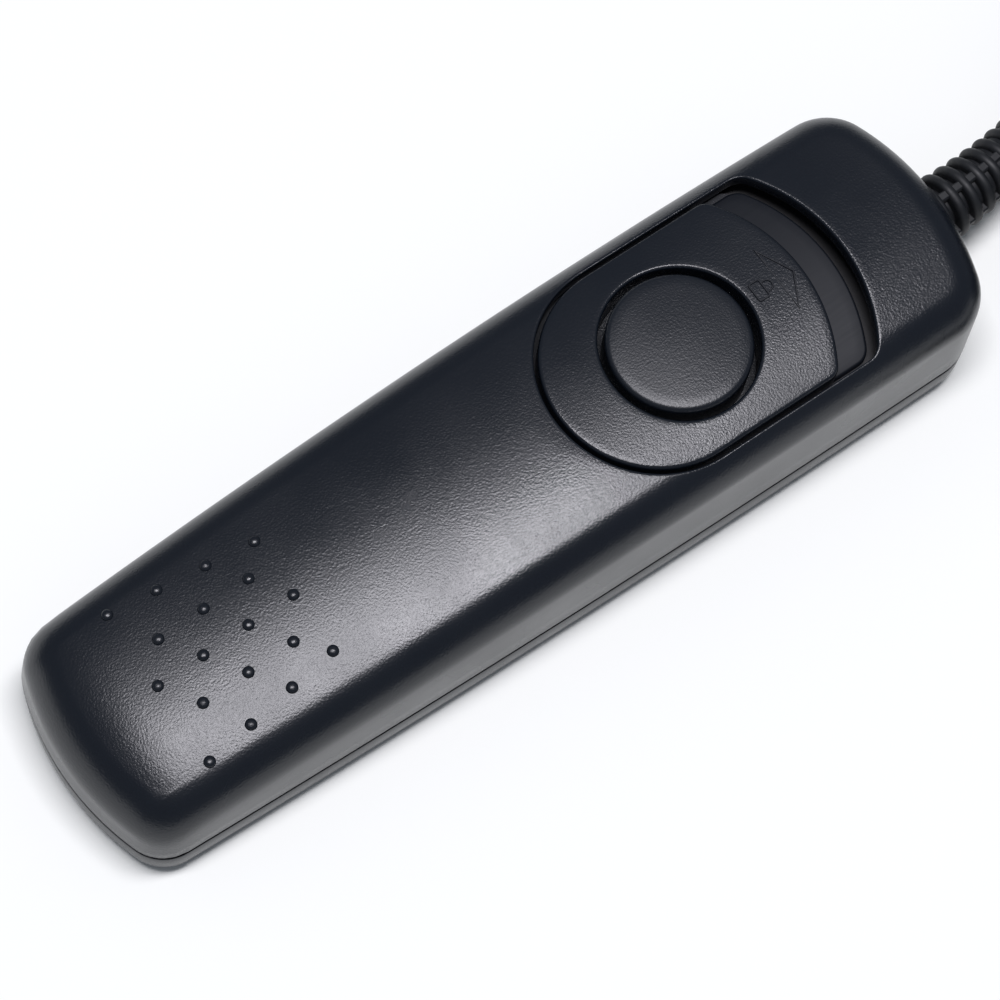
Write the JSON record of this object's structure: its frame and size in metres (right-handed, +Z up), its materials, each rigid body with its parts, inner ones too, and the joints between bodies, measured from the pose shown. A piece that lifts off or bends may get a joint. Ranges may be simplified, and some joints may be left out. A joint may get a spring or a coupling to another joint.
{
  "type": "camera remote shutter release",
  "caption": "Hand-held wired camera shutter release: crowned plastic housing, two-stage button in a sliding hold lock, ribbed strain relief, coiled cable and jack plug",
  "frame": {"origin": "middle of the housing's footprint, on the surface that it lies on", "axes": "+X from the tail to the cable end, +Z up through the button, +Y to the left of the cable seen from above the tail"},
  "size_m": [0.1599, 0.0498, 0.017],
  "materials": {
    "housing_plastic": "fine spark-eroded texture",
    "slider_plastic": "satin",
    "button_plastic": "satin",
    "frame_plastic": "moulded",
    "board": "paper laminate",
    "screw_steel": "zinc plated",
    "leaf_brass": "rolled phosphor bronze",
    "contact_silver": "silver",
    "lead_red": "insulation",
    "lead_yellow": "insulation",
    "lead_white": "insulation",
    "cable_jacket": "soft vinyl",
    "relief_rubber": "soft vinyl",
    "tie_strap": "woven hook and loop",
    "plug_nickel": "nickel plated"
  },
  "bodies": {
    "handset": {"top_shell": "housing_plastic", "bottom_shell": "housing_plastic", "case_screws": "screw_steel", "guide_frame": "frame_plastic", "frame_screws": "screw_steel", "switch_base": "board", "lower_spacer": "board", "upper_spacer": "board", "clamp_plate": "screw_steel", "stack_screws": "screw_steel", "shutter_leaf": "leaf_brass", "focus_leaf": "leaf_brass", "common_leaf": "leaf_brass", "contact_rivets": "contact_silver", "solder_joints": "contact_silver", "common_lead": "lead_red", "focus_lead": "lead_yellow", "shutter_lead": "lead_white", "cable_inner_end": "cable_jacket", "strain_relief": "relief_rubber", "cable_lead_in": "cable_jacket", "cable_coil": "cable_jacket", "coil_tie": "tie_strap", "cable_lead_out": "cable_jacket", "plug_relief": "relief_rubber", "plug_grip": "button_plastic", "plug_sleeve": "plug_nickel", "plug_ring": "plug_nickel", "plug_tip": "plug_nickel", "plug_insulators": "frame_plastic"},
    "slider": {"hold_slider": "slider_plastic"},
    "button": {"shutter_button": "button_plastic"}
  },
  "joints": [
    {"name": "hold_slide", "type": "slide", "parent": "handset", "child": "slider", "axis": [0.9998, 0, 0.0175], "range_m": [0, 0.0041], "deforming": ["common_leaf"]},
    {"name": "button_press", "type": "slide", "parent": "slider", "child": "button", "axis": [0, 0, -1], "range_m": [0, 0.0015], "stiffness_N_per_m": 600, "springref_m": -0.0005, "deforming": ["focus_leaf", "shutter_leaf", "contact_rivets"]}
  ]
}
